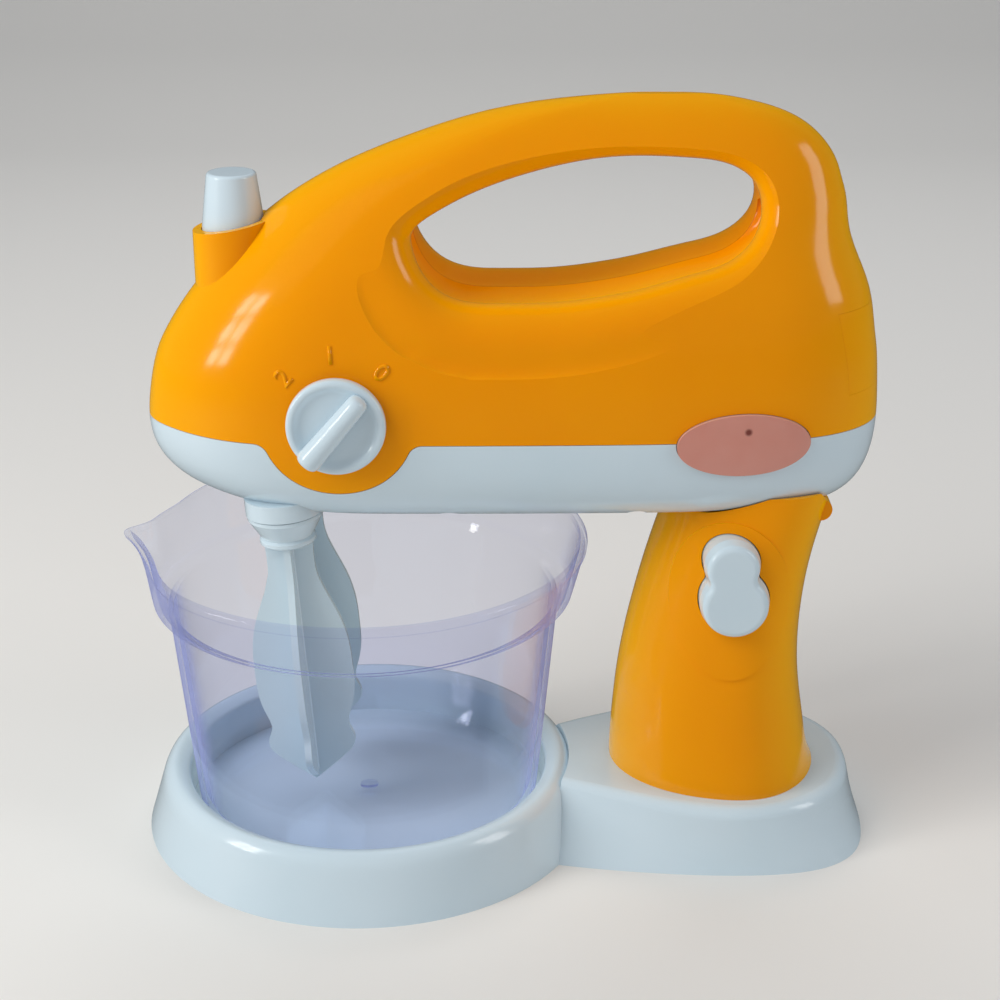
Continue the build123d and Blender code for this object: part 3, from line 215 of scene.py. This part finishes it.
def clear_styrene():
    """Clear polystyrene: see-through where it faces the eye, faintly violet where its wall turns away."""
    material, tree, output, at = new_material("clear_polystyrene_moulded")
    relief = bump(tree, noise(tree, at, 22), 0.2, 0.2)
    away = facing(tree, 0.5, normal=relief)
    near_edge = ranged(tree, away, 0.0, 0.7, from_min=0.6, smooth=True)
    grazing = add(tree, "ShaderNodeMath", {"operation": "POWER"}, {0: away, 1: 4.0})
    mirror = ranged(tree, grazing.outputs["Value"], 0.04, 0.4)
    wall = add(tree, "ShaderNodeBsdfTransparent", {}, {"Color": linear("#F8F9FF")})
    through = add(tree, "ShaderNodeBsdfTranslucent", {}, {"Color": linear("#BCC4FF")})
    back = add(tree, "ShaderNodeBsdfDiffuse", {}, {"Color": linear("#C4CBFF")})
    sheen = add(tree, "ShaderNodeBsdfGlossy", {}, {"Roughness": 0.04, "Normal": relief})
    haze = add(tree, "ShaderNodeMixShader", {},
               {0: 0.5, 1: through.outputs["BSDF"], 2: back.outputs["BSDF"]})
    body = add(tree, "ShaderNodeMixShader", {},
               {0: near_edge, 1: wall.outputs["BSDF"], 2: haze.outputs["Shader"]})
    whole = add(tree, "ShaderNodeMixShader", {},
                {0: mirror, 1: body.outputs["Shader"], 2: sheen.outputs["BSDF"]})
    tree.links.new(whole.outputs["Shader"], output.inputs["Surface"])
    return material


def pink_styrene():
    """Translucent salmon-pink styrene of the side window, with a painted highlight: a lighter pink at its
    rim, where it turns away from the eye. The lamp behind it is painted on as a small dark spot of painted
    shade."""
    material, tree, output, at = new_material("pink_translucent_styrene")
    cloud = noise(tree, at, 9)
    lamp_at = middle(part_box("light_near"))
    flat = add(tree, "ShaderNodeVectorMath", {"operation": "MULTIPLY"}, {0: at, 1: (1, 0, 1)})
    off = add(tree, "ShaderNodeVectorMath", {"operation": "DISTANCE"},
              {0: flat.outputs["Vector"], 1: (lamp_at.x, 0, lamp_at.z)})
    # Painted shade: a small dark spot on the lens where the lamp sits behind it.
    spot = ranged(tree, off.outputs["Value"], 0.0, 1.0, from_min=0.4 * MM, from_max=1.3 * MM, smooth=True)
    # Painted highlight: a lighter pink where the lens turns away from the eye.
    paint = mixed(tree, facing(tree, 0.4), mixed(tree, cloud, "#E79684", "#EFA898"), "#FFDCD2")
    return principled(material, tree, output,
                      {"Base Color": mixed(tree, spot, "#8A4A42", paint), "Roughness": 0.1, "IOR": 1.59,
                       "Transmission Weight": 0.2, "Subsurface Weight": 0.15,
                       "Subsurface Radius": (0.003, 0.0012, 0.001), "Coat Weight": 0.4,
                       "Normal": bump(tree, cloud, 0.1, 0.05)})


def lamp_resin():
    """Dark red resin of a small lamp that is off."""
    material, tree, output, at = new_material("red_lamp_resin")
    paint = mixed(tree, noise(tree, at, 2), "#3A1512", "#4A1C18")
    return principled(material, tree, output, {"Base Color": paint, "Roughness": 0.2})


by_slot = {"orange_abs": amber_abs, "white_abs": white_abs, "clear_ps": clear_styrene(),
           "pink_lens": pink_styrene(), "nylon": natural_nylon, "black_plastic": black_abs,
           "board": phenolic, "steel": zinc_steel, "brass": turned_brass, "spring_steel": spring_wire,
           "cell_wrap": cell_film, "lamp": lamp_resin()}

# Each CAD node takes the material of its slot
for entry in frame["record"]["subparts"]:
    if "node" in entry:
        mesh = nodes[entry["node"]].data
        mesh.materials.clear()
        mesh.materials.append(by_slot[entry["material_slot"]])

# The clear bowl lets the light of the lamps and the sky through
nodes["bowl"].visible_shadow = False
nodes["bowl"].visible_diffuse = False


# Pieces

def surface_tree(name):
    """Ray-casting tree of a CAD node's surface."""
    bm = bmesh.new()
    bm.from_mesh(nodes[name].data)
    tree = BVHTree.FromBMesh(bm)
    bm.free()
    return tree


def smooth_object(name, bm, material):
    """Smooth-shaded object from a bmesh, with its place in its mesh."""
    mesh = bpy.data.meshes.new(name)
    bm.to_mesh(mesh)
    bm.free()
    for face in mesh.polygons:
        face.use_smooth = True
    mesh.materials.append(material)
    made = bpy.data.objects.new(name, mesh)
    bpy.context.scene.collection.objects.link(made)
    return made


def piece(name, bm, material, body, levels=0):
    """Finished piece in the row frame. It rides on its body, unless the body is None."""
    bmesh.ops.recalc_face_normals(bm, faces=bm.faces)
    made = smooth_object(name, bm, material)
    if levels:
        smooth = made.modifiers.new("round", "SUBSURF")
        smooth.levels = smooth.render_levels = levels
    if body:
        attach(made, body)
    return made


def turned(bm, profile, steps):
    """Full turn of a profile of (radius, y) points round the Y axis."""
    verts = [bm.verts.new((r * MM, y * MM, 0)) for r, y in profile]
    edges = [bm.edges.new(pair) for pair in zip(verts, verts[1:])]
    bmesh.ops.spin(bm, geom=verts + edges, cent=(0, 0, 0), axis=(0, 1, 0), dvec=(0, 0, 0),
                   angle=2 * pi, steps=steps, use_merge=True, use_duplicate=False)
    bmesh.ops.remove_doubles(bm, verts=bm.verts, dist=0.002 * MM)


# Dial, in mm: its faces along Y, the radius of its rim, and its grip. Its centre is read from the CAD node
knob_centre = middle(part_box("mode_knob")) * Vector((1, 0, 1))
knob_turn = radians(50)       # the narrow end of the grip points to 0
knob_back, knob_face = -29.0, -32.2
knob_rim_r = 12.6
grip_length, grip_depth, grip_width = 24.4, 6.6, 8.6
grip_mid_y = knob_face - 1.5  # the middle of its depth
grip_shift = -0.9             # the wide end overhangs the rim, the narrow end doesn't
grip_taper = 0.22             # share of its width that it loses at its narrow end
grip_crest = 0.66             # width of its crest against its foot
grip_fall = 1.1               # how far its crest sinks at its narrow end
grip_slope = 1.6              # how much shorter its crest is than its foot
grip_cuts = 7


def knob_disc(bm):
    """Dished disc with a rolled rim, and its shaft."""
    rim = [(0, knob_back), (11.6, knob_back), (12.3, knob_back - 0.15), (knob_rim_r, knob_back - 0.6)]
    dish = [(knob_rim_r, 1.2), (knob_rim_r - 0.15, 0.55), (12.0, 0.12), (11.3, 0), (10.7, 0.16),
            (10.1, 0.62), (9.2, 1.15), (8.2, 1.4), (6.0, 1.5), (0, 1.5)]
    turned(bm, rim + [(r, knob_face + sunk) for r, sunk in dish], steps=96)
    root = knob_back + 0.2
    turned(bm, [(0, root), (3.0, root), (3.0, -21.8), (1.8, -21.5), (1.8, -20.0), (0, -20.0)], steps=32)


def knob_grip(bm):
    """Ridge across the disc, wide where it overhangs the rim and narrow at its pointer."""
    corners = bmesh.ops.create_cube(bm, size=1.0)["verts"]
    bmesh.ops.scale(bm, verts=corners, vec=(grip_length * MM, grip_depth * MM, grip_width * MM))
    bmesh.ops.translate(bm, verts=corners, vec=(grip_shift * MM, grip_mid_y * MM, 0))
    box_edges = {painted_edge_light for v in corners for painted_edge_light in v.link_edges}
    along = [e for e in box_edges if abs(e.verts[0].co.x - e.verts[1].co.x) > grip_length / 2 * MM]
    cut = bmesh.ops.subdivide_edges(bm, edges=along, cuts=grip_cuts, use_grid_fill=True)
    points = {v for v in bm.verts if v in corners}
    for part in cut["geom"]:
        if isinstance(part, bmesh.types.BMVert):
            points.add(part)
        if isinstance(part, bmesh.types.BMEdge):
            points.update(part.verts)
    for v in points:
        along_x = (v.co.x / MM - grip_shift) / grip_length + 0.5
        outer = v.co.y < grip_mid_y * MM
        v.co.z *= (1.0 - grip_taper * along_x) * (grip_crest if outer else 1.0)
        if outer:
            v.co.y += grip_fall * MM * along_x ** 2
            v.co.x += (0.5 - along_x) * grip_slope * MM


def dial():
    """The whole dial, turned to its rest position. It stands for the plainer CAD one."""
    bm = bmesh.new()
    knob_disc(bm)
    knob_grip(bm)
    bmesh.ops.rotate(bm, verts=bm.verts, cent=(0, 0, 0), matrix=Matrix.Rotation(-knob_turn, 3, "Y"))
    bmesh.ops.translate(bm, verts=bm.verts, vec=knob_centre)
    made = piece("dial", bm, white_abs, "mode_knob", levels=2)
    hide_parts("mode_knob")


dial()


# Raised numerals round the dial: what they say, their direction from its centre in degrees, and sizes in mm
dial_marks = [("2", 138), ("1", 94), ("0", 49)]
mark_radius = 17.4
mark_size = 6.4
mark_bold = 0.12        # how far the strokes are widened
mark_height = 0.28      # over the housing
mark_root = 0.3         # into the housing
before_housing = -0.08  # a place on Y outside the housing, in metres


def numerals():
    """Plain numerals that stand a little proud of the amber housing and follow its curve."""
    skin = surface_tree("upper_housing_near")
    bm = bmesh.new()
    for text, direction in dial_marks:
        letter = bpy.data.curves.new("numeral", "FONT")
        letter.body = text
        letter.size = mark_size * MM
        letter.offset = mark_bold * MM
        letter.align_x = letter.align_y = "CENTER"
        holder = bpy.data.objects.new("numeral", letter)
        bpy.context.scene.collection.objects.link(holder)
        bpy.context.view_layer.update()
        flat = bpy.data.meshes.new_from_object(holder.evaluated_get(bpy.context.evaluated_depsgraph_get()))
        bpy.data.objects.remove(holder)
        bpy.data.curves.remove(letter)
        at = radians(direction)
        spot = knob_centre + Vector((cos(at), 0, sin(at))) * mark_radius * MM
        upright = Matrix.Rotation(pi / 2, 4, "X")
        flat.transform(Matrix.Translation(spot) @ Matrix.Rotation(-(at - pi / 2), 4, "Y") @ upright)
        bm.from_mesh(flat)
        bpy.data.meshes.remove(flat)
    bmesh.ops.remove_doubles(bm, verts=bm.verts, dist=0.01 * MM)
    out = bmesh.ops.extrude_face_region(bm, geom=list(bm.faces))
    front = {v for v in out["geom"] if isinstance(v, bmesh.types.BMVert)}
    for v in bm.verts:
        hit = skin.ray_cast(Vector((v.co.x, before_housing, v.co.z)), Vector((0, 1, 0)))[0]
        v.co.y = hit.y - (mark_height if v in front else -mark_root) * MM
    piece("dial_numerals", bm, amber_abs, "head")


numerals()


def gate_mark():
    """Small round gate mark in the middle of the bowl's floor."""
    above_floor = Vector((0, 0, 0.04))
    floor = surface_tree("bowl").ray_cast(above_floor, Vector((0, 0, -1)))[0].z
    bm = bmesh.new()
    turned(bm, [(0, -0.1), (2.6, -0.1), (2.5, 0.12), (2.3, 0.25), (2.0, 0.25), (1.8, 0.1), (1.2, 0.05),
                (0.9, 0.2), (0, 0.25)], steps=40)
    bmesh.ops.rotate(bm, verts=bm.verts, cent=(0, 0, 0), matrix=Matrix.Rotation(pi / 2, 3, "X"))
    bmesh.ops.translate(bm, verts=bm.verts, vec=(0, 0, floor))
    piece("bowl_gate_mark", bm, by_slot["clear_ps"], "bowl")


gate_mark()


# Springs that a button presses: their wire and turns, and the points along and round the wire
spring_wire_r = 0.45 * MM
spring_turns = 5
steps_a_turn = 28
wire_sides = 10


def pressed_spring(node, up):
    """Coil that stands on its seat, on the fixed body, and rises along up."""
    low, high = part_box(node)
    length = abs((high - low).dot(up))
    seat = middle((low, high)) - up * length / 2
    radius = (high.x - low.x) / 2 - spring_wire_r
    side = Vector((1, 0, 0))
    across = up.cross(side)
    steps = spring_turns * steps_a_turn
    angles = [2 * pi * k / wire_sides for k in range(wire_sides)]
    bm = bmesh.new()
    rings = []
    for i in range(steps + 1):
        turn = 2 * pi * i / steps_a_turn
        out = side * cos(turn) + across * sin(turn)
        spot = seat + up * (spring_wire_r + (length - 2 * spring_wire_r) * i / steps) + out * radius
        rings.append([bm.verts.new(spot + (out * cos(a) + up * sin(a)) * spring_wire_r) for a in angles])
    for ring, following in zip(rings, rings[1:]):
        for k in range(wire_sides):
            after = (k + 1) % wire_sides
            bm.faces.new((ring[k], ring[after], following[after], following[k]))
    bm.faces.new(rings[0])
    bm.faces.new(rings[-1])
    made = piece(node + "_coil", bm, spring_wire, None)
    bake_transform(made)
    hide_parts(node)


pressed_spring("start_spring", Vector((0, 0, 1)))
pressed_spring("release_spring", Vector((0, -1, 0)))


# Floor, light and camera

def paper(name, hex_colour, in_gloss, roughness):
    """Plain matt paper. Glossy surfaces see it darker, so their colours stay full."""
    material, tree, output, at = new_material(name)
    path = add(tree, "ShaderNodeLightPath")
    shade = mixed(tree, path.outputs["Is Glossy Ray"], hex_colour, in_gloss)
    return principled(material, tree, output, {"Base Color": shade, "Roughness": roughness})


# Side view of the floor and backdrop as (y, z), and its half width along X, in metres
sweep_side = [(-1.2, 0.0), (0.9, 0.0), (1.15, 0.03), (1.35, 0.12), (1.48, 0.28), (1.55, 0.6), (1.55, 2.4)]
sweep_half_w = 2.2


def sweep():
    """Pale floor that curves up into a backdrop."""
    bm = bmesh.new()
    verts = [bm.verts.new((-sweep_half_w, y, z)) for y, z in sweep_side]
    edges = [bm.edges.new(pair) for pair in zip(verts, verts[1:])]
    out = bmesh.ops.extrude_edge_only(bm, edges=edges)
    moved = [v for v in out["geom"] if isinstance(v, bmesh.types.BMVert)]
    bmesh.ops.translate(bm, verts=moved, vec=(2 * sweep_half_w, 0, 0))
    floor = smooth_object("backdrop", bm, paper("pale_paper", "#EDEBE7", "#625E5A", roughness=0.7))


sweep()


def lamp(name, place, aim, size, power, tint, mirrored=True):
    """Soft lamp of a size in metres and a power in watts. A mirrored one shows in glossy surfaces."""
    light = bpy.data.lights.new(name, "AREA")
    light.shape = "RECTANGLE"
    light.size, light.size_y = size
    light.energy = power
    light.color = tint
    holder = bpy.data.objects.new(name, light)
    bpy.context.scene.collection.objects.link(holder)
    holder.location = place
    holder.rotation_euler = (Vector(aim) - Vector(place)).to_track_quat("-Z", "Y").to_euler()
    holder.visible_glossy = mirrored
    return holder


lamp("daylight", place=(-0.55, -0.35, 0.75), aim=(0.02, 0, 0.1), size=(0.5, 0.6), power=4.0,
     tint=(1, 0.99, 0.97), mirrored=False)
lamp("fill", place=(0.85, -0.25, 0.45), aim=(0.05, 0, 0.1), size=(0.25, 0.5), power=1.5, tint=(1, 1, 1))
lamp("back", place=(0.1, 0.8, 0.9), aim=(0.03, 0, 0.1), size=(0.9, 0.4), power=2.8,
     tint=(0.97, 0.98, 1), mirrored=False)

# Window of small panes, whose mirror image shows on the nose
window_place, window_aim = Vector((-0.72, -0.32, 0.38)), Vector((-0.03, -0.02, 0.15))
pane_size, pane_step = 0.10, 0.125
for row in (-1, 0, 1):
    for column in (-0.5, 0.5):
        pane = lamp("window_pane", window_place, window_aim, size=(pane_size, pane_size), power=0.3,
                    tint=(1, 0.99, 0.96))
        pane.location += pane.rotation_euler.to_matrix() @ Vector((column, row, 0)) * pane_step

# Even sky, darker where a glossy surface mirrors it
sky_strength, sky_in_gloss = 0.36, 0.10
world = bpy.data.worlds.new("studio")
bpy.context.scene.world = world
world.use_nodes = True
sky = world.node_tree.nodes["Background"]
sky.inputs["Color"].default_value = (0.92, 0.95, 1.0, 1)
sky_path = add(world.node_tree, "ShaderNodeLightPath")
sky_level = ranged(world.node_tree, sky_path.outputs["Is Glossy Ray"], sky_strength, sky_in_gloss)
world.node_tree.links.new(sky_level, sky.inputs["Strength"])

# Camera at the photograph's angle
camera_pitch = 21.85    # degrees below the horizon
camera = bpy.data.objects.new("camera", bpy.data.cameras.new("camera"))
bpy.context.scene.collection.objects.link(camera)
bpy.context.scene.camera = camera
camera.data.lens = 72.0
camera.data.sensor_width = 36.0
camera.location = (0.0373, -0.5006, 0.2952)
camera.rotation_euler = (radians(90 - camera_pitch), 0, 0)

bpy.context.scene.view_settings.view_transform = "Standard"
